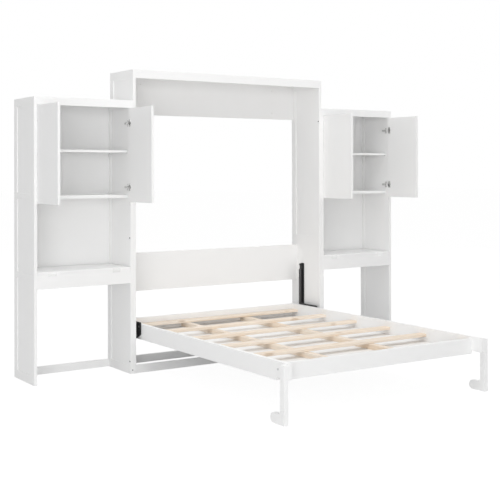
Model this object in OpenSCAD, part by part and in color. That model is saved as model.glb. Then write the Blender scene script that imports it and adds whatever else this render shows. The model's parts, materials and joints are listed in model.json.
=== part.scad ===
// Wall bed between two cupboard units, each with a desk that folds out.
// Millimetres, +Z up. The wall is on the +Y side and the bed folds down towards -Y.
// Everything is drawn with the bed down, the doors standing open and the desk leaves shut.

/* [Cabinets] */
// Depth of all three cabinets, front to wall
cab_d = 370; // [350:5:450]
// Thickness of the cabinet boards
board = 22; // [19:1:25]
// Outside width of one cupboard unit
unit_w = 746; // [600:5:900]
// Height of the cupboard units
unit_h = 1948; // [1850:5:2050]
// Height of the front of the cupboard units' tops
unit_head_h = 55; // [45:1:70]
// Height of the front of the bed cabinet's top
bed_head_h = 61; // [50:1:80]
// Width of the upright stiles of the sides
stile_w = 55; // [50:1:65]
// Height of the rails that cross the sides
side_rail_h = 38; // [30:1:50]
// Height of the sides' lowest rail
side_foot_h = 62; // [45:1:90]
// Thickness of the panels in the sides
side_panel_t = 9; // [6:0.5:12]
// Depth of the grooves that hold the panels
groove = 8; // [5:0.5:10]
// Height of the solid lower part of the bed cabinet's sides
mount_board_h = 917; // [850:5:1000]

/* [Cupboards] */
// Height of the underside of the cupboard floor
floor_z = 1253; // [1225:1:1275]
// Thickness of the shelf
shelf_t = 16; // [14:1:22]
// How far the shelf and the floor stand back from the front
shelf_set = 43; // [35:1:48]
// Thickness of the back panel
back_t = 6; // [4:0.5:8]
// Space behind the back panel
back_set = 14; // [10:1:20]
// Radius of the shelf pins
pin_r = 2.5; // [2:0.25:3.5]
// Length of a shelf pin on each side of the wood's face
pin_reach = 6; // [5:0.25:6.25]

/* [Doors] */
// Thickness of the doors
door_t = 18; // [15:1:20]
// How far the doors hang below the cupboard floor
door_drop = 29; // [20:1:40]
// Gap above a shut door
door_top_gap = 4; // [2:0.5:6]
// Gap between a shut door and the side
door_gap = 1.5; // [1:0.1:2.5]
// Gap between the two shut doors
door_meet = 2; // [2:0.25:4]
// Distance of the hinges from the ends of a door
hinge_inset = 105; // [80:1:140]
// Radius of a hinge's cup
cup_r = 17.5; // [13:0.5:17.5]
// Depth of a hinge's cup in the door
cup_depth = 11.5; // [9:0.5:12]
// Distance of the cup's centre from the door's edge
cup_edge = 22.5; // [20:0.5:24]
// Distance of the hinge plate from the cabinet's front
plate_front = 29; // [28.5:0.5:32]

/* [Desks] */
// Height of the fixed desk top's upper face
desk_z = 744; // [700:1:760]
// Thickness of the fold-out leaf
leaf_t = 18; // [15:1:22]
// Space between the leaf's rear edge and the back panel
leaf_back_gap = 10; // [5:1:30]
// Height of the apron below the desk
apron_h = 76; // [50:1:110]
// Height of the rear stretcher on the floor
stretcher_h = 55; // [40:1:80]
// Radius of the leaf hinge's knuckle
knuckle_r = 3.5; // [3:0.25:5]
// Radius of the leaf hinge's pin
leaf_pin_r = 1.8; // [1.5:0.1:2.2]
// Length of a leaf hinge
leaf_hinge_l = 60; // [40:1:80]
// Thickness of a leaf hinge's plate
leaf_hinge_t = 2; // [1.5:0.1:2.5]
// Distance of the leaf hinges from the desk's ends
leaf_hinge_inset = 110; // [80:1:150]

/* [Bed] */
// Clear width between the side rails
bed_w = 1534; // [1380:2:1640]
// Distance from the cabinets' front to the foot of the bed
bed_reach = 1780; // [1700:5:1850]
// Thickness of the side, head and foot rails
bed_rail_t = 25; // [20:1:28]
// Height of the side rails
bed_rail_h = 95; // [85:1:120]
// Height of the side rails' lower edge with the bed down
bed_rail_z = 255; // [240:1:300]
// Thickness of the underside panel
under_t = 17; // [12:1:19]
// How far the underside panel's edge stands in
under_inset = 2; // [1:0.5:5]
// How far the foot rail stands back from the rails' ends
foot_set = 87; // [60:1:120]
// Height of the foot rail
foot_rail_h = 99; // [80:1:105]
// Size of a lengthwise support, across and up
support_w = 42; // [30:1:60]
support_h = 35; // [25:1:40]
// Distance of each support from the middle
support_x = 270; // [200:5:350]
// Width of a slat
slat_w = 70; // [50:1:95]
// Thickness of a slat
slat_t = 20; // [15:1:24]
// Number of slats
slats_n = 6; // [5:1:12]
// Clear space from the foot rail to the last slat
slat_foot_gap = 28; // [10:1:60]
// Clear space from the head rail to the first slat
slat_head_gap = 5; // [2:1:30]

/* [Legs] */
// Thickness of a leg
leg_t = 30; // [20:1:31]
// Width of a leg's upright
leg_w = 41; // [35:1:60]
// How far a leg's top is below the rail's top
leg_drop = 7; // [3:1:15]
// Length of the foot, from the front of the leg
toe_l = 136; // [100:1:180]
// Height of the foot
toe_h = 60; // [50:1:90]
// Radius of the inside corner between leg and foot
leg_fillet = 18; // [8:1:25]

/* [Fold mechanism] */
// Space between a side rail and the cabinet's side
side_gap = 36; // [35.5:0.5:40]
// How far the folded bed's face stands behind the cabinets' front
bed_inset = 33; // [31:1:45]
// Height of the pivot above the underside of the bed
pivot_rise = 24; // [22:1:32]
// Space above the floor of the folded bed's head end
fold_floor_gap = 9; // [6:1:30]
// Space above the folded bed's foot end
fold_head_gap = 10; // [9:1:30]
// Radius of the pivot axle
axle_r = 10; // [7:0.5:12]
// Radius of the axle's shoulder and of the bearing boss
hub_r = 22; // [18:0.5:26]
// Thickness of the bed bracket
bracket_t = 5; // [4:0.5:5.5]
// Height of the bearing boss on the bed bracket
boss_h = 6; // [3:0.5:10]
// How far the bed bracket stands above the side rail
bracket_rise = 12; // [8:1:20]
// Thickness of the pivot plate
plate_t = 4; // [3:0.5:4.5]
// Radius of the bed bolts' shanks
bolt_r = 4; // [3:0.25:5]
// Length of the bed bolts
bolt_l = 24; // [20:0.5:28]

/* [Gas struts] */
// Distance of the upper strut pin from the cabinets' front
strut_top_y = 232; // [225:1:245]
// Height of the upper strut pin
strut_top_z = 675; // [660:1:700]
// Distance of the lower strut pin behind the pivot
strut_low_y = 175; // [168:1:182]
// Height of the lower strut pin above the pivot
strut_low_z = 38; // [34:1:42]
// Outer radius of the cylinder
strut_r = 13; // [10:0.5:13]
// Wall of the cylinder
strut_wall = 2; // [1.5:0.25:3]
// Radius of the rod
rod_r = 5; // [4:0.25:6]
// Radius of the upper strut pin
strut_pin_r = 4; // [3:0.25:5]
// Distance from the upper pin to the top of the cylinder
rod_show = 40; // [36:1:60]
// Width of the plate behind each strut
strut_plate_w = 62; // [50:1:75]

/* [Floor rails and headboard] */
// Height of the floor rails of the bed cabinet
floor_rail_h = 57; // [45:1:70]
// How far the front floor rail stands back from the front
floor_rail_set = 9; // [3:1:10]
// Height of the headboard's lower edge
headboard_z = 547; // [500:5:600]
// Height of the headboard
headboard_h = 287; // [200:1:320]
// Thickness of the headboard
headboard_t = 18; // [15:1:22]
// Distance from the wall to the headboard's front face
headboard_set = 67; // [67:1:75]
// Height of the header board below the top
header_h = 279; // [200:1:320]
// Radius of the wall screws' holes in the header board
wall_hole_r = 4; // [3:0.5:6]
// Spacing of the wall screws' holes, across
wall_hole_x = 1219; // [800:1:1300]
// Spacing of the wall screws' holes, up
wall_hole_z = 180; // [100:1:220]

/* [Hidden] */
// General clearances
running = 0.05;   // radial, round a turning pin
side_play = 0.3;  // between faces that slide past each other
leaf_side_gap = 1.5;
past = 1;         // how far a cutting solid runs past a face
$fn = 48;

// The bed's own heights, with the bed down
under_z = bed_rail_z - under_t;
rail_top_z = bed_rail_z + bed_rail_h;
support_top_z = bed_rail_z + support_h;
rail_in_x = bed_w / 2;
rail_out_x = rail_in_x + bed_rail_t;

// The pivot: its height over the bed's underside is also its depth behind the folded bed's face
pivot_z = under_z + pivot_rise;
pivot_y = bed_inset + pivot_rise;
head_end_y = pivot_y + pivot_z - fold_floor_gap;
foot_end_y = -bed_reach;
foot_rail_y = foot_end_y + foot_set;

// The bed cabinet
cab_in_x = rail_out_x + side_gap;
cab_out_x = cab_in_x + board;
cab_h = pivot_z + pivot_y + bed_reach + fold_head_gap + bed_head_h;

// The cupboard units
unit_out_x = cab_out_x + unit_w;
unit_in_0 = cab_out_x + board;
unit_in_1 = unit_out_x - board;
unit_in_w = unit_in_1 - unit_in_0;
desk_low_z = desk_z - board;
back_y = cab_d - back_set - back_t;
door_low_z = floor_z - door_drop;
door_high_z = unit_h - unit_head_h - door_top_gap;
door_w = (unit_in_w - 2 * door_gap - door_meet) / 2;
// The shelf lies halfway up the cupboard
shelf_z = (floor_z + board + unit_h - unit_head_h - shelf_t) / 2;
hinge_zs = [door_low_z + hinge_inset, door_high_z - hinge_inset];

// The origin lies on the floor under the middle of the whole object, so the cabinets' front
// stands back from it by half the difference between the bed's reach and the cabinets' depth
front_y = (bed_reach - cab_d) / 2;

// The struts, seen from the side: upper pin, lower pin, length and lean
strut_top = [strut_top_y, strut_top_z];
strut_low = [pivot_y + strut_low_y, pivot_z + strut_low_z];
strut_l = norm(strut_top - strut_low);
strut_lean = atan2(strut_low.x - strut_top.x, strut_top.y - strut_low.y);
// The lower pin after the bed has folded up, and how far the strut then has run out
strut_low_up = [pivot_y + strut_low_z, pivot_z - strut_low_y];
strut_run = norm(strut_top - strut_low_up) - strut_l;
echo(str("each strut runs out ", strut_run, " mm as the bed folds up"));
strut_x = rail_out_x + bracket_t + (side_gap - bracket_t - plate_t) / 2;
eye_w = 10;
eye_r = 9;

wood = "white";
pine = "burlywood";
steel = "silver";
black_steel = "dimgray";

// ---------------------------------------------------------------- helpers

// Measures y from the cabinets' front
module from_front() {
    translate([0, front_y, 0]) children();
}

// Parts are drawn for the right-hand side; side = -1 gives the left-hand one
module on_side(side) {
    mirror([side < 0 ? 1 : 0, 0, 0]) children();
}

// A board given by its lowest and highest corners
module slab(low, high) {
    translate(low) cube(high - low);
}

// A cylinder along X from x = low to x = high, about the line through [y, z]
module pin_x(at, r, low, high) {
    translate([low, at.x, at.y]) rotate([0, 90, 0]) cylinder(r = r, h = high - low);
}

// A convex plate in the YZ plane with round corners of radius r about the given centres,
// which run anticlockwise seen from +X, drawn with straight sides and true arcs
function unit_normal(a, b) = let (d = (b - a) / norm(b - a)) [d.y, -d.x];
module round_plate(centres, r, low, high) {
    n = len(centres);
    outline = [
        for (i = [0 : n - 1])
            for (side = [unit_normal(centres[(i + n - 1) % n], centres[i]),
                         unit_normal(centres[i], centres[(i + 1) % n])])
                centres[i] + r * side
    ];
    translate([low, 0, 0]) rotate([90, 0, 90]) linear_extrude(high - low) {
        polygon(outline);
        for (c = centres) translate(c) circle(r = r);
    }
}

// ---------------------------------------------------------------- sides

// Bays of a cupboard unit's side: [lower edge, upper edge] of each opening in the frame
unit_bays = [
    [side_foot_h, desk_z - side_rail_h],
    [desk_z, floor_z],
    [floor_z + side_rail_h, unit_h - unit_head_h]
];

// Bay of a bed cabinet's side, over the solid lower part
bed_bays = [[mount_board_h, cab_h - bed_head_h]];

// The hollow that a panel fills, edges and all
module panel_space(bay) {
    translate([(board - side_panel_t) / 2, stile_w - groove, bay[0] - groove])
        cube([side_panel_t, cab_d - 2 * stile_w + 2 * groove, bay[1] - bay[0] + 2 * groove]);
}

// Stiles and rails, from x = 0 to x = board
module side_frame(h, bays) {
    difference() {
        cube([board, cab_d, h]);
        for (bay = bays) {
            slab([-past, stile_w, bay[0]], [board + past, cab_d - stile_w, bay[1]]);
            panel_space(bay);
        }
    }
}

// Groove for the cupboard's back panel and holes for the shelf pins, at the face x = 0
back_groove = 7;
shelf_pin_ys = [shelf_set + 6, back_y - 20];
module unit_side_cuts() {
    slab([-past, back_y, desk_low_z], [back_groove, back_y + back_t, unit_h - board]);
    for (y = shelf_pin_ys)
        pin_x([y, shelf_z - pin_r], pin_r, -past, pin_reach);
}

module unit_outer_side(side) {
    color(wood) from_front() on_side(side) translate([unit_in_1, 0, 0]) difference() {
        side_frame(unit_h, unit_bays);
        unit_side_cuts();
    }
}

module unit_inner_side(side) {
    color(wood) from_front() on_side(side) translate([unit_in_0, 0, 0])
        mirror([1, 0, 0]) difference() {
            side_frame(unit_h, unit_bays);
            unit_side_cuts();
        }
}

module unit_side_panels(side) {
    color(wood) from_front() on_side(side)
        for (x = [cab_out_x, unit_in_1], bay = unit_bays)
            translate([x, 0, 0]) panel_space(bay);
}

module bed_cabinet_side(side) {
    color(wood) from_front() on_side(side) translate([cab_in_x, 0, 0])
        side_frame(cab_h, bed_bays);
}

module bed_cabinet_side_panels() {
    color(wood) from_front()
        for (side = [-1, 1], bay = bed_bays)
            on_side(side) translate([cab_in_x, 0, 0]) panel_space(bay);
}

// ---------------------------------------------------------------- cupboard units

// A board that spans a unit between its two sides
module unit_slab(side, low_y, low_z, high_y, high_z) {
    color(wood) from_front() on_side(side)
        slab([unit_in_0, low_y, low_z], [unit_in_1, high_y, high_z]);
}

module unit_top(side) {
    unit_slab(side, 0, unit_h - board, cab_d, unit_h);
}

module unit_fascia(side) {
    unit_slab(side, 0, unit_h - unit_head_h, board, unit_h - board);
}

module cupboard_floor(side) {
    unit_slab(side, shelf_set, floor_z, back_y, floor_z + board);
}

module shelf(side) {
    play = 0.5;
    color(wood) from_front() on_side(side)
        slab([unit_in_0 + play, shelf_set, shelf_z],
             [unit_in_1 - play, back_y - play, shelf_z + shelf_t]);
}

module cupboard_back(side) {
    color(wood) from_front() on_side(side)
        slab([unit_in_0 - back_groove, back_y, desk_low_z],
             [unit_in_1 + back_groove, back_y + back_t, unit_h - board]);
}

module desk_floor_stretchers() {
    for (side = [-1, 1])
        unit_slab(side, cab_d - board, 0, cab_d, stretcher_h);
}

module desk_aprons() {
    for (side = [-1, 1])
        unit_slab(side, 0, desk_low_z - apron_h, board, desk_low_z);
}

module shelf_pins() {
    color(steel) from_front()
        for (side = [-1, 1], y = shelf_pin_ys, x = [unit_in_0, unit_in_1])
            on_side(side)
                pin_x([y, shelf_z - pin_r], pin_r, x - pin_reach, x + pin_reach);
}

// ---------------------------------------------------------------- desk leaf and its hinges

leaf_low_z = desk_z + side_play;
// The leaf's hinge line, just in front of the edges, so that they meet without rubbing
leaf_axis = [-side_play / 2 - 0.1, desk_z + side_play / 2];
leaf_hinge_xs = [
    unit_in_0 + leaf_hinge_inset - leaf_hinge_l / 2,
    unit_in_1 - leaf_hinge_inset - leaf_hinge_l / 2
];
// The fixed knuckles take the outer thirds of a hinge, the leaf's knuckle the middle
knuckle_third = leaf_hinge_l / 3;
hinge_flap_h = 15;

// What a hinge takes out of the wood: a shallow seat for its flap and room for the knuckle
module leaf_hinge_seat(flap_low, flap_high) {
    room = 0.4;
    for (x = leaf_hinge_xs) {
        slab([x, -past, flap_low], [x + leaf_hinge_l, leaf_hinge_t, flap_high]);
        pin_x(leaf_axis, knuckle_r + room, x - room, x + leaf_hinge_l + room);
    }
}

module desk_top(side) {
    color(wood) from_front() on_side(side) difference() {
        slab([unit_in_0, 0, desk_low_z], [unit_in_1, back_y, desk_z]);
        leaf_hinge_seat(desk_z - hinge_flap_h, desk_z + past);
    }
}

module desk_leaf(side) {
    color(wood) from_front() on_side(side) difference() {
        slab([unit_in_0 + leaf_side_gap, 0, leaf_low_z],
             [unit_in_1 - leaf_side_gap, back_y - leaf_back_gap, leaf_low_z + leaf_t]);
        leaf_hinge_seat(leaf_low_z - past, leaf_low_z + hinge_flap_h);
    }
}

// One flap in its seat; up = 1 for the leaf's flap, -1 for the fixed one
module hinge_flap(x, up) {
    edge = up > 0 ? leaf_low_z : desk_z;
    slab([x, 0, min(edge, edge + up * hinge_flap_h)],
         [x + leaf_hinge_l, leaf_hinge_t, max(edge, edge + up * hinge_flap_h)]);
}

module leaf_hinges() {
    color(steel) from_front()
        for (side = [-1, 1], x = leaf_hinge_xs) on_side(side) {
            for (i = [0, 2])
                pin_x(leaf_axis, knuckle_r, x + i * knuckle_third,
                      x + (i + 1) * knuckle_third);
            difference() {
                hinge_flap(x, -1);
                pin_x(leaf_axis, knuckle_r + side_play, x + knuckle_third,
                      x + 2 * knuckle_third);
            }
            pin_x(leaf_axis, leaf_pin_r, x, x + leaf_hinge_l);
        }
}

module leaf_hinge_flaps(side) {
    color(steel) from_front() on_side(side)
        for (x = leaf_hinge_xs) {
            middle = x + leaf_hinge_l / 2;
            half = knuckle_third / 2 - side_play;
            difference() {
                union() {
                    pin_x(leaf_axis, knuckle_r, middle - half, middle + half);
                    difference() {
                        hinge_flap(x, 1);
                        for (i = [0, 2])
                            pin_x(leaf_axis, knuckle_r + side_play,
                                  x + i * knuckle_third - past,
                                  x + (i + 1) * knuckle_third + side_play);
                    }
                }
                pin_x(leaf_axis, leaf_pin_r + running, middle - half - past,
                      middle + half + past);
            }
        }
}

// ---------------------------------------------------------------- doors and their hinges

// Moves a door and its hinges, drawn for a side whose inner face is x = 0 with the cupboard
// towards +X, to one of a unit's two sides: "inner" or "outer"
module hung(side, place) {
    from_front() on_side(side)
        if (place == "inner")
            translate([unit_in_0, 0, 0]) children();
        else
            translate([unit_in_1, 0, 0]) mirror([1, 0, 0]) children();
}

// The open door's hinge edge clears the side's front edge by this much
door_edge_y = -side_play;

module door(side, place) {
    color(wood) hung(side, place) difference() {
        slab([0, door_edge_y - door_w, door_low_z], [door_t, door_edge_y, door_high_z]);
        for (z = hinge_zs)
            pin_x([door_edge_y - cup_edge, z], cup_r, door_t - cup_depth, door_t + past);
    }
}

// Steel cup, let into the door's inner face, with its flange and the folded link
flange_t = 1.6;
flange_h = 52;
flange_w = 24;
cup_wall = 1.2;
module door_cups(side, place) {
    link = [14, 4.5, 12];
    color(steel) hung(side, place)
        for (z = hinge_zs) {
            centre = [door_edge_y - cup_edge, z];
            difference() {
                union() {
                    pin_x(centre, cup_r, door_t - cup_depth, door_t);
                    slab([door_t, centre.x - flange_w / 2 - 2, z - flange_h / 2],
                         [door_t + flange_t, centre.x + flange_w / 2 - 2, z + flange_h / 2]);
                }
                pin_x(centre, cup_r - cup_wall, door_t - cup_depth + cup_wall,
                      door_t + flange_t + past);
            }
            slab([door_t - cup_depth + cup_wall, centre.x - 4, z - link.z / 2],
                 [door_t + link.y, centre.x + link.x, z + link.z / 2]);
        }
}

// Wing plate on the side and the arm over it, from behind the shut door's inner face
arm_front = 27.5;
arm_back = 78;
module door_hinge_arms() {
    wing = [2.5, 14, 46];
    arm_w = 14;
    color(steel)
        for (side = [-1, 1], place = ["inner", "outer"]) hung(side, place)
            for (z = hinge_zs) {
                slab([0, plate_front, z - wing.z / 2],
                     [wing.x, plate_front + wing.y, z + wing.z / 2]);
                slab([0, plate_front, z - arm_w / 2], [wing.x, stile_w - 3, z + arm_w / 2]);
                translate([0, 0, z - arm_w / 2]) linear_extrude(arm_w)
                    polygon([
                        [wing.x, plate_front + 4], [13, arm_front], [16.5, arm_front],
                        [16.5, arm_front + 8], [11, plate_front + 20], [8, arm_back],
                        [wing.x, arm_back]
                    ]);
            }
}

// ---------------------------------------------------------------- bed cabinet

// A board that spans the bed cabinet between its two sides
module span(low_y, low_z, high_y, high_z) {
    color(wood) from_front() slab([-cab_in_x, low_y, low_z], [cab_in_x, high_y, high_z]);
}

module bed_cabinet_top() {
    span(0, cab_h - board, cab_d, cab_h);
}

module bed_cabinet_fascia() {
    span(0, cab_h - bed_head_h, board, cab_h - board);
}

// Screwed to the wall through four holes
module header_board() {
    header_low = cab_h - board - header_h;
    color(wood) difference() {
        span(cab_d - board, header_low, cab_d, cab_h - board);
        for (x = [-wall_hole_x / 2, wall_hole_x / 2], dz = [-wall_hole_z / 2, wall_hole_z / 2])
            from_front() translate([x, cab_d + past, header_low + header_h / 2 + dz])
                rotate([90, 0, 0]) cylinder(r = wall_hole_r, h = board + 2 * past);
    }
}

module headboard() {
    span(cab_d - headboard_set, headboard_z,
         cab_d - headboard_set + headboard_t, headboard_z + headboard_h);
}

module floor_rails() {
    span(floor_rail_set, 0, floor_rail_set + board, floor_rail_h);
    span(cab_d - board, 0, cab_d, floor_rail_h);
}

// ---------------------------------------------------------------- bed

// Bolts of a bed bracket: along the rail from the pivot, and over the rail's lower edge
bolt_foot = 40;
bolt_foot_rise = 75;
bolt_over = 42;
bolt_over_rise = 75;
bolt_rear = 103;
bolt_rear_rise = 30;
bolt_head = 133;
bolt_head_rise = 80;
bracket_bolts = [
    [pivot_y - bolt_foot, bed_rail_z + bolt_foot_rise],
    [pivot_y + bolt_over, bed_rail_z + bolt_over_rise],
    [pivot_y + bolt_rear, bed_rail_z + bolt_rear_rise],
    [pivot_y + bolt_head, bed_rail_z + bolt_head_rise]
];
foot_bolt = [foot_rail_y + bed_rail_t / 2, bed_rail_z + 49];

module bed_side_rail(side) {
    color(wood) from_front() on_side(side) difference() {
        slab([rail_in_x, foot_end_y, bed_rail_z], [rail_out_x, head_end_y, rail_top_z]);
        for (at = bracket_bolts)
            pin_x(at, bolt_r + running, rail_out_x + bracket_t - bolt_l, rail_out_x + past);
        pin_x(foot_bolt, bolt_r + running, rail_in_x - past, rail_out_x + past);
    }
}

module bed_cross_rail(low_y, low_z, high_z) {
    color(wood) from_front()
        slab([-rail_in_x, low_y, low_z], [rail_in_x, low_y + bed_rail_t, high_z]);
}

module bed_head_rail() {
    bed_cross_rail(head_end_y - bed_rail_t, bed_rail_z, rail_top_z);
}

foot_bolt_hole_l = 60;
module bed_foot_rail() {
    difference() {
        bed_cross_rail(foot_rail_y, under_z, under_z + foot_rail_h);
        for (side = [-1, 1])
            from_front() on_side(side)
                pin_x(foot_bolt, bolt_r + running, rail_in_x - foot_bolt_hole_l,
                      rail_in_x + past);
    }
}

module underside_panel() {
    x = rail_out_x - under_inset;
    color(wood) from_front()
        slab([-x, foot_rail_y + bed_rail_t, under_z], [x, head_end_y, bed_rail_z]);
}

module bed_supports() {
    color(pine) from_front()
        for (x = [-support_x, support_x])
            slab([x - support_w / 2, foot_rail_y + bed_rail_t, bed_rail_z],
                 [x + support_w / 2, head_end_y - bed_rail_t, support_top_z]);
}

module bed_slats() {
    first_y = foot_rail_y + bed_rail_t + slat_foot_gap;
    last_y = head_end_y - bed_rail_t - slat_head_gap - slat_w;
    pitch = (last_y - first_y) / (slats_n - 1);
    color(pine) from_front()
        for (i = [0 : slats_n - 1])
            slab([-rail_in_x, first_y + i * pitch, support_top_z],
                 [rail_in_x, first_y + i * pitch + slat_w, support_top_z + slat_t]);
}

// A leg outside the rail with a foot that runs back towards the wall. Folded up, the pair
// stand out at the top as the handles that the bed is pulled down by.
module leg(side) {
    top_z = rail_top_z - leg_drop;
    toe_r = toe_h / 2;
    corner = [foot_end_y + leg_w + leg_fillet, toe_h + leg_fillet];
    color(wood) from_front() on_side(side)
        translate([rail_out_x, 0, 0]) rotate([90, 0, 90]) linear_extrude(leg_t) {
            translate([foot_end_y, 0]) square([leg_w, top_z]);
            translate([foot_end_y, 0]) square([toe_l - toe_r, toe_h]);
            translate([foot_end_y + toe_l - toe_r, toe_r]) circle(r = toe_r);
            difference() {
                translate([foot_end_y + leg_w, toe_h]) square(leg_fillet);
                translate(corner) circle(r = leg_fillet);
            }
        }
}

// ---------------------------------------------------------------- fold mechanism

// Steel plate bolted on the outside of a side rail. The axle's bearing is near its front end and
// the strut's stud at its rear end. Only its upper edge shows over the rail, and its upper rear
// corner is cut off.
module bed_bracket() {
    corner_r = 12;
    foot_reach = 54;
    foot_rise = 27;
    under_reach = 30;
    under_rise = 6;
    rear_reach = 6;
    corner_cut = 27;
    low_x = rail_out_x;
    high_x = rail_out_x + bracket_t;
    foot_y = pivot_y - foot_reach;
    rear_y = strut_low.x + rear_reach;
    low_z = pivot_z + under_rise;
    high_z = rail_top_z + bracket_rise - corner_r;
    difference() {
        union() {
            round_plate([
                [foot_y, bed_rail_z + foot_rise], [pivot_y - under_reach, low_z],
                [rear_y, low_z], [rear_y, strut_low.y + rear_reach],
                [strut_low.x - corner_cut, high_z], [foot_y, high_z]
            ], corner_r, low_x, high_x);
            pin_x([pivot_y, pivot_z], hub_r, low_x, high_x + boss_h);
        }
        pin_x([pivot_y, pivot_z], axle_r + running, low_x - past, high_x + boss_h + past);
        for (at = bracket_bolts)
            countersunk(at, high_x, running);
    }
}

// A flat-headed bolt whose head ends flush at x = face; grow makes the hole for it
bolt_head_h = 4;
module countersunk(at, face, grow) {
    pin_x(at, bolt_r + grow, face - bolt_l, face + grow);
    translate([face - bolt_head_h, at.x, at.y]) rotate([0, 90, 0])
        cylinder(r1 = bolt_r + grow, r2 = 2 * bolt_r + grow, h = bolt_head_h + grow / 10);
}

module bed_brackets() {
    color(black_steel) from_front()
        for (side = [-1, 1]) on_side(side) bed_bracket();
}

module bed_bolts() {
    head_r = 7;
    head_h = 3;
    color(steel) from_front()
        for (side = [-1, 1]) on_side(side) {
            for (at = bracket_bolts) countersunk(at, rail_out_x + bracket_t, 0);
            pin_x(foot_bolt, bolt_r, rail_in_x - foot_bolt_hole_l + past, rail_out_x);
            pin_x(foot_bolt, head_r, rail_out_x, rail_out_x + head_h);
        }
}

// Plate on the cabinet's side with the axle that the bed turns on
module pivot_plates() {
    corner_r = 10;
    plate_x = cab_in_x - plate_t;
    reach = 34;
    rise = 72;
    shoulder_r = hub_r - 6;
    color(black_steel) from_front()
        for (side = [-1, 1]) on_side(side) {
            round_plate([
                [pivot_y - reach, pivot_z - rise], [pivot_y + reach, pivot_z - rise],
                [pivot_y + reach, pivot_z + rise], [pivot_y - reach, pivot_z + rise]
            ], corner_r, plate_x, cab_in_x);
            pin_x([pivot_y, pivot_z], shoulder_r,
                  rail_out_x + bracket_t + boss_h + side_play, plate_x);
            pin_x([pivot_y, pivot_z], axle_r, rail_out_x + side_play, plate_x);
        }
}

// Long plate on the cabinet's side behind each strut. It narrows at its top, round the pin that
// the strut hangs on.
module strut_brackets() {
    corner_r = 8;
    front_reach = 29;
    top_reach = 12;
    narrow_h = 47;
    below_rail_top = 30;
    plate_x = cab_in_x - plate_t;
    front_y_in = strut_top.x - front_reach + corner_r;
    rear_y_in = front_y_in + strut_plate_w - 2 * corner_r;
    low_z = rail_top_z - below_rail_top + corner_r;
    high_z = strut_top.y + top_reach - corner_r;
    eye_low = strut_x - eye_w / 2;
    eye_high = strut_x + eye_w / 2;
    head_r = strut_pin_r + 3;
    head_h = 3;
    color(black_steel) from_front()
        for (side = [-1, 1]) on_side(side) {
            round_plate([
                [front_y_in, low_z], [rear_y_in, low_z], [rear_y_in, high_z - narrow_h],
                [strut_top.x, high_z], [front_y_in, high_z]
            ], corner_r, plate_x, cab_in_x);
            pin_x(strut_top, head_r, eye_high + side_play, plate_x);
            pin_x(strut_top, strut_pin_r, eye_low - side_play - head_h, plate_x);
            pin_x(strut_top, head_r, eye_low - side_play - head_h, eye_low - side_play);
        }
}

// Places a strut part drawn hanging straight down from its upper pin at the origin
module strut_place(side) {
    from_front() on_side(side)
        translate([strut_x, strut_top.x, strut_top.y]) rotate([strut_lean, 0, 0]) children();
}

// A stretch of a strut part, measured down from the upper pin
module along(high, low, r) {
    translate([0, 0, -low]) cylinder(r = r, h = low - high);
}

// The black rod hangs by its eye on the cabinet's pin. Its piston stands low in the cylinder with
// the bed down, and just under the cylinder's cap with the bed folded up.
tube_cap = 8;
module strut_rod(side) {
    neck_r = 6;
    neck_l = 26;
    piston_h = 10;
    piston_play = 1;
    piston_high = rod_show + tube_cap + strut_run + piston_play;
    color(black_steel) strut_place(side) difference() {
        union() {
            pin_x([0, 0], eye_r, -eye_w / 2, eye_w / 2);
            // The neck stops in the eye, clear of the pin's heads
            along(eye_r - past, neck_l, neck_r);
            along(neck_l - past, piston_high + past, rod_r);
            along(piston_high, piston_high + piston_h, strut_r - strut_wall - 2 * running);
        }
        pin_x([0, 0], strut_pin_r + running, -eye_w, eye_w);
    }
}

// The cylinder stands on an eye whose stud reaches to the bed bracket's face
module strut_cylinder(side) {
    tube_end = 25;
    tube_low = strut_l - tube_end;
    low_neck_r = 5;
    stud_r = 6;
    stud_past = 2;
    low_eye_w = 12;
    low_eye_r = 10;
    color(black_steel) strut_place(side) {
        difference() {
            along(rod_show, tube_low, strut_r);
            along(rod_show + tube_cap, tube_low - tube_cap, strut_r - strut_wall);
            along(rod_show - past, rod_show + tube_cap + past, rod_r + running);
        }
        along(tube_low - past, strut_l, low_neck_r);
        pin_x([0, -strut_l], low_eye_r, -low_eye_w / 2, low_eye_w / 2);
        pin_x([0, -strut_l], stud_r, rail_out_x + bracket_t + side_play - strut_x,
              low_eye_w / 2 + stud_past);
    }
}

unit_outer_side(-1);  // left_outer_side
unit_inner_side(-1);  // left_inner_side
unit_side_panels(-1);  // left_side_panels
unit_top(-1);  // left_top
unit_fascia(-1);  // left_fascia
cupboard_floor(-1);  // left_cupboard_floor
shelf(-1);  // left_shelf
cupboard_back(-1);  // left_cupboard_back
desk_top(-1);  // left_desk_top
unit_outer_side(1);  // right_outer_side
unit_inner_side(1);  // right_inner_side
unit_side_panels(1);  // right_side_panels
unit_top(1);  // right_top
unit_fascia(1);  // right_fascia
cupboard_floor(1);  // right_cupboard_floor
shelf(1);  // right_shelf
cupboard_back(1);  // right_cupboard_back
desk_top(1);  // right_desk_top
desk_aprons();
desk_floor_stretchers();
shelf_pins();
door_hinge_arms();
leaf_hinges();
bed_cabinet_side(-1);  // bed_cabinet_left_side
bed_cabinet_side(1);  // bed_cabinet_right_side
bed_cabinet_side_panels();
bed_cabinet_top();
bed_cabinet_fascia();
header_board();
headboard();
floor_rails();
door(-1, "outer");  // left_outer_door
door(-1, "inner");  // left_inner_door
door(1, "inner");  // right_inner_door
door(1, "outer");  // right_outer_door
door_cups(-1, "outer");  // left_outer_door_cups
door_cups(-1, "inner");  // left_inner_door_cups
door_cups(1, "inner");  // right_inner_door_cups
door_cups(1, "outer");  // right_outer_door_cups
desk_leaf(-1);  // left_desk_leaf
desk_leaf(1);  // right_desk_leaf
leaf_hinge_flaps(-1);  // left_leaf_hinge_flaps
leaf_hinge_flaps(1);  // right_leaf_hinge_flaps
bed_head_rail();
bed_foot_rail();
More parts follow.
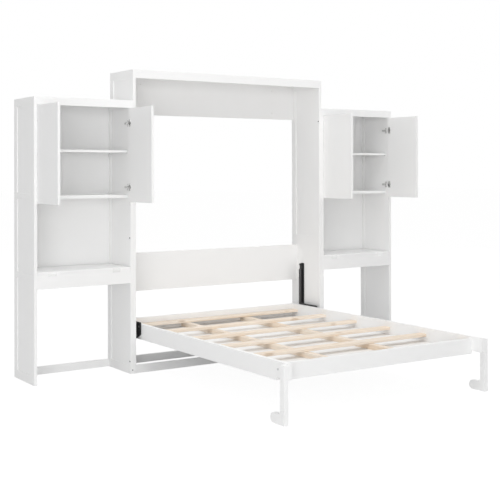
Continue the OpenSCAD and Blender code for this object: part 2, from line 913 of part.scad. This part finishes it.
bed_side_rail(-1);  // bed_left_rail
bed_side_rail(1);  // bed_right_rail
underside_panel();
bed_supports();
bed_slats();
leg(-1);  // left_leg
leg(1);  // right_leg
bed_brackets();
bed_bolts();
pivot_plates();
strut_brackets();
strut_rod(-1);  // left_strut_rod
strut_rod(1);  // right_strut_rod
strut_cylinder(-1);  // left_strut_cylinder
strut_cylinder(1);  // right_strut_cylinder
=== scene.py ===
import json
from math import cos, radians, sin

import bmesh
import bpy
from mathutils import Matrix, Vector

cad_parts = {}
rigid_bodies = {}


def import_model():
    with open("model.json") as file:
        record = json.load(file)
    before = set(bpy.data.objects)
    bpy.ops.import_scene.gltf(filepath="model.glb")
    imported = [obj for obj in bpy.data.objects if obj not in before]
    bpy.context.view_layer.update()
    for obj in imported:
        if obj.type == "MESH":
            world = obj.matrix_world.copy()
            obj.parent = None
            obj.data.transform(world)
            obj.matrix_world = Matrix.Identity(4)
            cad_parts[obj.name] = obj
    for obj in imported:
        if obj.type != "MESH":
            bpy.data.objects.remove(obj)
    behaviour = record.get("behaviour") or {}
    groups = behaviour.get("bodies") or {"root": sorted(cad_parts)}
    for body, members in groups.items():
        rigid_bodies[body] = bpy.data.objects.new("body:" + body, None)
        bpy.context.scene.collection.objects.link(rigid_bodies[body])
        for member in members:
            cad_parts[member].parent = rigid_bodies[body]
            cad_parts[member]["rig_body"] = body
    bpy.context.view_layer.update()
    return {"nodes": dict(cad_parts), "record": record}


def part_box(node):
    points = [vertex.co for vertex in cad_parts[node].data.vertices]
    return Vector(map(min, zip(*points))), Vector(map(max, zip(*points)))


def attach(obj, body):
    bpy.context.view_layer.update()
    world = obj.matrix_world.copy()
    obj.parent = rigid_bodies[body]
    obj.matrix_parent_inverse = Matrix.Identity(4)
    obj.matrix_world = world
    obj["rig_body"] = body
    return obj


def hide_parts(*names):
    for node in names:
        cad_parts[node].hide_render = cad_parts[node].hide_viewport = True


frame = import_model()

scene = bpy.context.scene
scene.view_settings.view_transform = "Standard"

# ---------------------------------------------------------------- camera
# The photographer stood some six metres in front of the cupboards and well to the left of them,
# with the camera level at chest height and turned to the right. The lens and its shift were
# fitted to the upright and level edges in the photo.
photographer_at = (-4.114, -5.599, 1.432)
turn_right, tip_up, roll = radians(33.031), radians(0.248), radians(-0.122)

camera_data = bpy.data.cameras.new("camera")
camera_data.sensor_width = 36
camera_data.lens = 71.4
camera_data.shift_x, camera_data.shift_y = 0.0372, -0.1636
camera_data.clip_end = 200
camera = bpy.data.objects.new("camera", camera_data)
scene.collection.objects.link(camera)
ahead = Vector((sin(turn_right) * cos(tip_up), cos(turn_right) * cos(tip_up), sin(tip_up)))
level_right = Vector((cos(turn_right), -sin(turn_right), 0))
level_up = level_right.cross(ahead)
right = cos(roll) * level_right + sin(roll) * level_up
upward = -sin(roll) * level_right + cos(roll) * level_up
camera.matrix_world = (Matrix.Translation(photographer_at)
                       @ Matrix((right, upward, -ahead)).transposed().to_4x4())
scene.camera = camera

# ---------------------------------------------------------------- floor and light
# A white studio floor that runs out of sight under a white surround. One softbox stands behind
# the photographer and fills the cupboards, one hangs above the bed, and two weaker ones light
# the far left and the back.


class Value:
    """A socket of a node tree. Sums written with it become Math nodes."""

    def __init__(self, tree, socket=None):
        self.tree, self.socket = tree, socket

    def node(self, kind, settings, sockets, out=0):
        """A new node with these settings and sockets. Gives the output called out."""
        made = self.tree.nodes.new(kind)
        for name, setting in settings.items():
            if name == "stops":
                ramp = made.color_ramp.elements
                for _ in range(len(setting) - 2):
                    ramp.new(0.5)
                for stop, (position, tone) in zip(ramp, setting):
                    stop.position, stop.color = position, (*tone, 1)
            else:
                setattr(made, name, setting)
        for name, given in sockets.items():
            if isinstance(given, Value):
                self.tree.links.new(given.socket, made.inputs[name])
            else:
                made.inputs[name].default_value = given
        return Value(self.tree, made.outputs[out])

    def maths(self, operation, *numbers):
        return self.node("ShaderNodeMath", {"operation": operation}, dict(enumerate(numbers)))

    def __add__(self, other):
        return self.maths("ADD", self, other)

    def __mul__(self, other):
        return self.maths("MULTIPLY", self, other)

    __radd__, __rmul__ = __add__, __mul__


def wire(value, socket):
    value.tree.links.new(value.socket, socket)


def empty_tree(owner, output_kind):
    """An emptied node tree's maker of nodes, and the socket that it ends in."""
    owner.use_nodes = True
    owner.node_tree.nodes.clear()
    end = owner.node_tree.nodes.new(output_kind)
    return Value(owner.node_tree), end.inputs["Surface"]


def seen_or_mirrored(start):
    """1 for what the camera sees, directly, in a gloss or through glass; 0 for other light."""
    seen = start.node("ShaderNodeLightPath", {}, {}, "Is Camera Ray")
    rays = seen.socket.node.outputs
    gloss = Value(start.tree, rays["Is Glossy Ray"])
    through = Value(start.tree, rays["Is Transmission Ray"])
    return seen.maths("MAXIMUM", seen.maths("MAXIMUM", seen, gloss), through)


white = (1, 1, 1, 1)
surround_light = 0.4  # how strongly the surround lights the object; the camera sees it at 1
surround = bpy.data.worlds.new("white_surround")
scene.world = surround
start, surround_end = empty_tree(surround, "ShaderNodeOutputWorld")
surround_strength = surround_light + seen_or_mirrored(start) * (1 - surround_light)
wire(start.node("ShaderNodeBackground", {}, {"Color": white, "Strength": surround_strength}),
     surround_end)

floor_tone = (0.78, 0.78, 0.78, 1)  # colours the light that the floor throws back
shadow_tone = (0.16, 0.16, 0.16, 1)  # the share of the floor in view that takes a shadow
floor_glow = 0.93  # and the share that stays bright
floor_finish = bpy.data.materials.new("studio_floor")
start, floor_end = empty_tree(floor_finish, "ShaderNodeOutputMaterial")
thrown_back = start.node("ShaderNodeBsdfDiffuse", {}, {"Color": floor_tone})
shadow_catch = start.node("ShaderNodeBsdfDiffuse", {}, {"Color": shadow_tone})
glow = start.node("ShaderNodeEmission", {}, {"Color": white, "Strength": floor_glow})
seen_floor = start.node("ShaderNodeAddShader", {}, {0: shadow_catch, 1: glow})
wire(start.node("ShaderNodeMixShader", {},
                {0: seen_or_mirrored(start), 1: thrown_back, 2: seen_floor}), floor_end)

floor_half = 60
floor_mesh = bpy.data.meshes.new("studio_floor")
floor_mesh.from_pydata([(-floor_half, -floor_half, 0), (floor_half, -floor_half, 0),
                        (floor_half, floor_half, 0), (-floor_half, floor_half, 0)],
                       [], [(0, 1, 2, 3)])
floor_mesh.materials.append(floor_finish)
floor = bpy.data.objects.new("studio_floor", floor_mesh)
scene.collection.objects.link(floor)

lit_middle = Vector((0, 0, 0.9))


def softbox(name, at, watts, wide, high):
    """A soft lamp at a place, turned to the middle of the bed cabinet."""
    lamp = bpy.data.lights.new(name, "AREA")
    lamp.shape = "RECTANGLE"
    lamp.size, lamp.size_y, lamp.energy = wide, high, watts
    stand = bpy.data.objects.new(name, lamp)
    stand.visible_camera = False
    turn = (lit_middle - Vector(at)).to_track_quat("-Z", "Y").to_matrix().to_4x4()
    stand.matrix_world = Matrix.Translation(at) @ turn
    scene.collection.objects.link(stand)


softbox("front_softbox", at=(-5.6, -7.2, 1.7), watts=268, wide=6, high=3.2)
softbox("overhead_softbox", at=(0.0, -1.6, 6.5), watts=230, wide=7, high=6)
softbox("left_softbox", at=(-8.0, -1.0, 2.4), watts=37, wide=5, high=4)
softbox("rear_softbox", at=(4.0, 8.5, 4.5), watts=108, wide=7, high=4.5)

# ---------------------------------------------------------------- painted boards
# The cabinets, doors, desks and rails are boards and frames painted a satin white all over.
# The paint has a roller's faint stipple, and every long edge has been rubbed to a small round.


def new_finish(name, **fixed):
    """A material, its shader's sockets, and the place on the object that patterns follow."""
    made = bpy.data.materials.new(name)
    made.use_nodes = True
    shader = made.node_tree.nodes["Principled BSDF"]
    for socket, amount in fixed.items():
        shader.inputs[socket.replace("_", " ")].default_value = amount
    at = Value(made.node_tree).node("ShaderNodeTexCoord", {}, {}, "Object")
    return made, shader.inputs, at


def noise(at, scale, detail=2):
    return at.node("ShaderNodeTexNoise", {}, {"Vector": at, "Scale": scale, "Detail": detail})


def mixed(share, low, high):
    """A colour between low and high; share 0 gives low."""
    first, second, result = 6, 7, 2  # where a Mix node has its sockets for colours
    return share.node("ShaderNodeMix", {"data_type": "RGBA"},
                      {0: share, first: low, second: high}, result)


def bumped(height, strength, depth):
    return height.node("ShaderNodeBump", {}, {"Height": height, "Strength": strength,
                                              "Distance": depth})


def white_paint():
    """Satin white with a faint cloud in its tone and a roller's stipple in its skin."""
    made, sockets, at = new_finish("white_paint", Coat_Weight=0.12, Coat_Roughness=0.3)
    thin_coat, full_coat = (0.922, 0.923, 0.921, 1), (0.944, 0.943, 0.939, 1)
    cloud = noise(at, scale=2.1, detail=3)
    stipple = noise(at, scale=620)
    skin = stipple + noise(at, scale=95) * 0.6
    wire(mixed(cloud, thin_coat, full_coat), sockets["Base Color"])
    wire(0.4 + cloud * 0.1 + stipple * 0.08, sockets["Roughness"])
    wire(bumped(skin, strength=0.16, depth=0.0003), sockets["Normal"])
    return made


def board_shape(node, arris, shortest=0.006):
    """A copy of a CAD board with every sharp edge that is longer than shortest rubbed round."""
    shape = bmesh.new()
    shape.from_mesh(frame["nodes"][node].data)
    same_point, flat, sharp = 1e-5, radians(0.5), radians(30)
    bmesh.ops.remove_doubles(shape, verts=shape.verts, dist=same_point)
    bmesh.ops.dissolve_limit(shape, angle_limit=flat, verts=shape.verts, edges=shape.edges)
    rubbed = [edge for edge in shape.edges
              if edge.is_manifold and edge.calc_length() > shortest
              and edge.calc_face_angle() > sharp]
    bmesh.ops.bevel(shape, geom=rubbed, offset=arris, offset_type="OFFSET", segments=2,
                    profile=0.5, affect="EDGES", clamp_overlap=False)
    made = bpy.data.meshes.new(node)
    shape.to_mesh(made)
    shape.free()
    return made


def smoothed(mesh):
    """Shades the narrow facets of round edges smooth and leaves every wider face flat."""
    widest_facet = 0.004
    mesh.set_sharp_from_angle(angle=radians(20))  # also marks every face smooth, so it is first
    shape = bmesh.new()
    shape.from_mesh(mesh)
    for face in shape.faces:
        face.smooth = 2 * face.calc_area() / face.calc_perimeter() < widest_facet
    shape.to_mesh(mesh)
    shape.free()


def new_piece(name, mesh, coat):
    """A mesh in its coat, as a piece of its own."""
    mesh.materials.clear()
    mesh.materials.append(coat)
    smoothed(mesh)
    piece = bpy.data.objects.new(name, mesh)
    scene.collection.objects.link(piece)
    return piece


slot_of = {part["node"]: part["material_slot"] for part in frame["record"]["subparts"]}


def nodes_in(slot):
    """The CAD nodes that the record finishes from this slot."""
    return sorted(node for node, given in slot_of.items() if given == slot)


def dressed(node, mesh, coat, shown_as):
    """Puts a finished mesh in a CAD node's place, on the same body."""
    piece = new_piece(f"{node}_{shown_as}", mesh, coat)
    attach(piece, frame["nodes"][node]["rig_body"])
    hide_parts(node)


board_arris = 0.0012
paint = white_paint()
for node in nodes_in("white_paint"):
    dressed(node, board_shape(node, board_arris), paint, "painted")

# ---------------------------------------------------------------- slats and supports
# Planed, bare pine. The slats lie across on two lengthwise supports, and their long edges are
# rounded. The grain runs along each board, with a few small knots.


def drawn_out(at, along, lengthwise, crosswise):
    """The place on a board, scaled so that patterns are drawn out along x or y."""
    scales = {"x": (lengthwise, crosswise, crosswise), "y": (crosswise, lengthwise, crosswise)}
    return at.node("ShaderNodeVectorMath", {"operation": "MULTIPLY"}, {0: at, 1: scales[along]})


def bare_pine(name, along):
    """Pale and darker wood in bands, with fine pores and a few knots, drawn out along the board."""
    made, sockets, at = new_finish(name, Coat_Weight=0.04)
    bands = [(0.34, (0.92, 0.84, 0.75)), (0.5, (0.90, 0.79, 0.67)), (0.66, (0.85, 0.70, 0.55))]
    pore_tone, pore_share = (0.66, 0.51, 0.36, 1), 0.08
    knot_tone, knot_share = (0.58, 0.42, 0.29, 1), 0.65
    fibre_at = drawn_out(at, along, lengthwise=1.6, crosswise=46)
    knot_at = drawn_out(at, along, lengthwise=4.2, crosswise=11)
    middles = at.node("ShaderNodeTexVoronoi", {}, {"Vector": knot_at, "Scale": 1.0}, "Distance")
    knot = at.node("ShaderNodeMapRange", {}, {"Value": middles, "From Min": 0.09, "From Max": 0.2,
                                              "To Min": 1, "To Max": 0})
    grain = noise(fibre_at, scale=1.0, detail=4) * 0.75 + noise(at, scale=1.7, detail=3) * 0.25
    pores = noise(fibre_at, scale=9.0)
    wood = at.node("ShaderNodeValToRGB", {"stops": bands}, {"Fac": grain})
    wood = mixed(pores * pore_share, wood, pore_tone)
    wire(mixed(knot * knot_share, wood, knot_tone), sockets["Base Color"])
    wire(0.55 + pores * 0.14, sockets["Roughness"])
    wire(bumped(pores + knot * 0.5, strength=0.3, depth=0.0004), sockets["Normal"])
    return made


def geometry_tree(name, inputs):
    """A tree with these named inputs; gives the tree, its inputs and its end."""
    tree = bpy.data.node_groups.new(name, "GeometryNodeTree")
    tree.interface.new_socket("Geometry", in_out="OUTPUT", socket_type="NodeSocketGeometry")
    for socket, kind in inputs.items():
        tree.interface.new_socket(socket, in_out="INPUT", socket_type=f"NodeSocket{kind}")
    outs = tree.nodes.new("NodeGroupInput").outputs
    end = tree.nodes.new("NodeGroupOutput").inputs[0]
    return tree, {socket: Value(tree, outs[socket]) for socket in inputs}, end


def end_tree(laid, material, end):
    """Makes the copies real, gives them their material and ends the tree with them."""
    solid = laid.node("GeometryNodeRealizeInstances", {}, {"Geometry": laid})
    wire(laid.node("GeometryNodeSetMaterial", {}, {"Geometry": solid, "Material": material}),
         end)


def plain_mesh(name, tree, given, start_mesh=None):
    """What a geometry tree makes from these inputs, as a mesh of its own."""
    holder = bpy.data.objects.new(name, start_mesh or bpy.data.meshes.new(name))
    scene.collection.objects.link(holder)
    modifier = holder.modifiers.new("maker", "NODES")
    modifier.node_group = tree
    for item in tree.interface.items_tree:
        if item.in_out == "INPUT" and item.name in given:
            modifier[item.identifier] = given[item.name]
    seen = holder.evaluated_get(bpy.context.evaluated_depsgraph_get())
    mesh = bpy.data.meshes.new_from_object(seen)
    bpy.data.objects.remove(holder)
    mesh.name = name
    return mesh


slat_tree, asked, slat_end = geometry_tree("slats", {
    "Count": "Int", "First": "Vector", "Pitch": "Vector", "Half length": "Vector",
    "Width": "Float", "Thickness": "Float", "Edge round": "Float", "Pine": "Material"})
count = asked["Count"]
row = count.node("GeometryNodeMeshLine", {"mode": "OFFSET"},
                 {"Count": count, "Start Location": asked["First"], "Offset": asked["Pitch"]})
other_end = count.node("ShaderNodeVectorMath", {"operation": "MULTIPLY"},
                       {0: asked["Half length"], 1: (-1, -1, -1)})
core = count.node("GeometryNodeCurvePrimitiveLine", {"mode": "POINTS"},
                  {"Start": other_end, "End": asked["Half length"]})
section = count.node("GeometryNodeCurvePrimitiveQuadrilateral", {},
                     {"Width": asked["Width"], "Height": asked["Thickness"]})
rounded = count.node("GeometryNodeFilletCurve", {"mode": "POLY"},
                     {"Curve": section, "Count": 3, "Radius": asked["Edge round"]})
slat = count.node("GeometryNodeCurveToMesh", {}, {"Curve": core, "Profile Curve": rounded,
                                                  "Fill Caps": True})
laid = count.node("GeometryNodeInstanceOnPoints", {}, {"Points": row, "Instance": slat})
end_tree(laid, asked["Pine"], slat_end)

slat_pine = bare_pine("slat_pine", along="x")
slat_count, slat_width, slat_round = 6, 0.070, 0.004
slat_low, slat_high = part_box("bed_slats")
slat_pitch = (slat_high.y - slat_low.y - slat_width) / (slat_count - 1)
first_slat = Vector(((slat_low.x + slat_high.x) / 2, slat_low.y + slat_width / 2,
                     (slat_low.z + slat_high.z) / 2))
slat_mesh = plain_mesh("bed_slats", slat_tree, {
    "Count": slat_count, "First": first_slat, "Pitch": Vector((0, slat_pitch, 0)),
    "Half length": Vector(((slat_high.x - slat_low.x) / 2, 0, 0)), "Width": slat_width,
    "Thickness": slat_high.z - slat_low.z, "Edge round": slat_round, "Pine": slat_pine})
dressed("bed_slats", slat_mesh, slat_pine, "planed")

support_arris = 0.002
dressed("bed_supports", board_shape("bed_supports", support_arris),
        bare_pine("support_pine", along="y"), "planed")

# ---------------------------------------------------------------- door and leaf hinges
# Pressed steel: nickel-plated cups let into the doors and arms on the cabinets' sides, with
# shelf pins of the same plating. The small butt hinges under the desk leaves are a dull, pale
# zinc, as nothing of them stands out in the photo.


def steel_finish(name, tones, patches, detail, smoothest, rougher, grain, strength,
                 depth=0.0002, **fixed):
    """Steel in patches of two tones, rougher where it is paler, over an even, fine grain."""
    made, sockets, at = new_finish(name, **fixed)
    dark, pale = tones
    patch = noise(at, patches, detail)
    wire(mixed(patch, (*dark, 1), (*pale, 1)), sockets["Base Color"])
    wire(smoothest + patch * rougher, sockets["Roughness"])
    wire(bumped(noise(at, grain), strength, depth), sockets["Normal"])
    return made


nickel = steel_finish("nickel_plate", ((0.60, 0.60, 0.595), (0.70, 0.70, 0.69)),
                      patches=42, detail=3, smoothest=0.2, rougher=0.16,
                      grain=380, strength=0.08, Metallic=1.0)
dull_zinc = steel_finish("dull_zinc", ((0.80, 0.80, 0.795), (0.87, 0.87, 0.865)),
                         patches=30, detail=3, smoothest=0.56, rougher=0.12,
                         grain=420, strength=0.1, Metallic=1.0)

steel_arris, shortest_hinge_edge = 0.0004, 0.004
for node in nodes_in("bright_steel"):
    if node != "bed_bolts":
        dressed(node, board_shape(node, steel_arris, shortest_hinge_edge),
                dull_zinc if "leaf" in node else nickel, "plated")

# ---------------------------------------------------------------- fold mechanism
# Flat steel plates cut to shape and powder coated black, with a fine orange peel. The gas
# struts' cylinders and rods are black too, but smoother.
powder = steel_finish("black_powder_coat", ((0.016, 0.016, 0.018), (0.032, 0.032, 0.034)),
                      patches=14, detail=4, smoothest=0.46, rougher=0.14,
                      grain=260, strength=0.3, depth=0.0003)
satin = steel_finish("black_strut", ((0.018, 0.018, 0.02), (0.030, 0.030, 0.032)),
                     patches=60, detail=3, smoothest=0.26, rougher=0.1,
                     grain=500, strength=0.05, Coat_Weight=0.3, Coat_Roughness=0.15)

for node in nodes_in("black_steel"):
    coat = satin if "strut_rod" in node or "strut_cylinder" in node else powder
    dressed(node, board_shape(node, steel_arris), coat, "coated")

# ---------------------------------------------------------------- bolts and screws
# Low round heads with a six-sided socket, each turned in until it sits on the plate or board
# that it holds. They are zinc plated, except the black ones that join the cabinets.
zinc = steel_finish("zinc_plate", ((0.58, 0.585, 0.60), (0.72, 0.72, 0.715)),
                    patches=90, detail=3, smoothest=0.24, rougher=0.18,
                    grain=500, strength=0.06, Metallic=1.0)
dressed("bed_bolts", board_shape("bed_bolts", steel_arris), zinc, "plated")

screw_tree, asked, screw_end = geometry_tree("screw_heads", {
    "Places": "Geometry", "Radius": "Float", "Height": "Float", "Socket": "Float",
    "Facing": "Vector", "Steel": "Material"})
radius, height = asked["Radius"], asked["Height"]
rim_corners, key_corners = 20, 6
disc = radius.node("GeometryNodeMeshCylinder", {"fill_type": "NGON"},
                   {"Vertices": rim_corners, "Radius": radius, "Depth": height})
key = radius.node("GeometryNodeMeshCylinder", {"fill_type": "NGON"},
                  {"Vertices": key_corners, "Radius": asked["Socket"], "Depth": height})
half_up = radius.node("ShaderNodeCombineXYZ", {}, {"Z": height * 0.5})
key_up = radius.node("GeometryNodeTransform", {}, {"Geometry": key, "Translation": half_up})
head = radius.node("GeometryNodeMeshBoolean", {"operation": "DIFFERENCE", "solver": "EXACT"},
                   {"Mesh 1": disc, "Mesh 2": key_up})
turned = radius.node("FunctionNodeAlignRotationToVector", {"axis": "Z"},
                     {"Vector": asked["Facing"]})
set_in = radius.node("GeometryNodeInstanceOnPoints", {},
                     {"Points": asked["Places"], "Instance": head, "Rotation": turned})
end_tree(set_in, asked["Steel"], screw_end)


def screws(name, body, places, facing, size, slot="bright_steel", steel=zinc):
    """Heads of one size that stand on a surface at places and point along facing."""
    facing = Vector(facing)
    middles = [Vector(place) + facing * size["Height"] * 0.5 for place in places]
    spots = bpy.data.meshes.new(name)
    spots.from_pydata(middles, [], [])
    mesh = plain_mesh(name, screw_tree, {**size, "Facing": facing, "Steel": steel}, spots)
    piece = new_piece(name, mesh, steel)
    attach(piece, body)


# Two bolts hold each strut plate to the cabinet, clear of the cylinder in front of them
plate_bolt = {"Radius": 0.0065, "Height": 0.003, "Socket": 0.003}
plate_thick, plate_bolt_inset = 0.004, 0.012
plate_bolt_heights = (0.408, 0.600)
plate_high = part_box("strut_brackets")[1]
plate_face = plate_high.x - plate_thick
for side, inward in (("left", 1), ("right", -1)):
    screws(f"{side}_strut_plate_bolts", "cabinet",
           [(-inward * plate_face, plate_high.y - plate_bolt_inset, z)
            for z in plate_bolt_heights],
           (inward, 0, 0), plate_bolt)

# Two small screws hold each hinge cup's flange to its door, and two its wing plate to the side
cup_screw = {"Radius": 0.0032, "Height": 0.0008, "Socket": 0.0014}
wing_screw = {"Radius": 0.0038, "Height": 0.001, "Socket": 0.0017}
flange_thick, wing_thick, wing_tall = 0.0016, 0.0025, 0.046
flange_inset, wing_screw_inset = 0.0245, 0.0085  # to the flange's middle, from the door's edge
cup_screw_reach, wing_screw_reach = 0.022, 0.016  # up and down from the hinge's middle
arms_low, arms_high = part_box("door_hinge_arms")
hinge_heights = (arms_low.z + wing_tall / 2, arms_high.z - wing_tall / 2)
for name in ("left_outer", "left_inner", "right_inner", "right_outer"):
    inward = 1 if name in ("left_outer", "right_inner") else -1
    door_low, door_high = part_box(f"{name}_door")
    side_low, side_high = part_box(f"{name}_side")
    flange_face = (door_high.x if inward > 0 else door_low.x) + inward * flange_thick
    wing_face = (side_high.x if inward > 0 else side_low.x) + inward * wing_thick
    screws(f"{name}_door_cup_screws", f"{name}_door",
           [(flange_face, door_high.y - flange_inset, z + reach)
            for z in hinge_heights for reach in (-cup_screw_reach, cup_screw_reach)],
           (inward, 0, 0), cup_screw)
    screws(f"{name}_wing_plate_screws", "cabinet",
           [(wing_face, arms_low.y + wing_screw_inset, z + reach)
            for z in hinge_heights for reach in (-wing_screw_reach, wing_screw_reach)],
           (inward, 0, 0), wing_screw)

# Dark bolts through the upright boards join each unit to the bed cabinet. The photo shows two
# heads in the unit, near the floor and under the doors, one high up in the bed cabinet, and a
# smaller one low on the unit's front edge.
joining_bolt = {"Radius": 0.005, "Height": 0.0012, "Socket": 0.0022}
edge_screw = {"Radius": 0.004, "Height": 0.001, "Socket": 0.0016}
unit_bolt_heights, cabinet_bolt_height = (0.089, 0.967), 1.842
bolt_inset = 0.011
edge_screw_in, edge_screw_height = 0.006, 0.028
unit_low, unit_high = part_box("right_inner_side")
cabinet_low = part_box("bed_cabinet_right_side")[0]
bolt_y = unit_low.y + bolt_inset
black = {"slot": "black_steel", "steel": powder}
for side, outward in (("left", -1), ("right", 1)):
    screws(f"{side}_unit_joining_bolts", "cabinet",
           [(outward * unit_high.x, bolt_y, z) for z in unit_bolt_heights],
           (outward, 0, 0), joining_bolt, **black)
    screws(f"{side}_cabinet_joining_bolt", "cabinet",
           [(outward * cabinet_low.x, bolt_y, cabinet_bolt_height)],
           (-outward, 0, 0), joining_bolt, **black)
    screws(f"{side}_unit_edge_screw", "cabinet",
           [(outward * (unit_low.x + edge_screw_in), unit_low.y, edge_screw_height)],
           (0, -1, 0), edge_screw, **black)
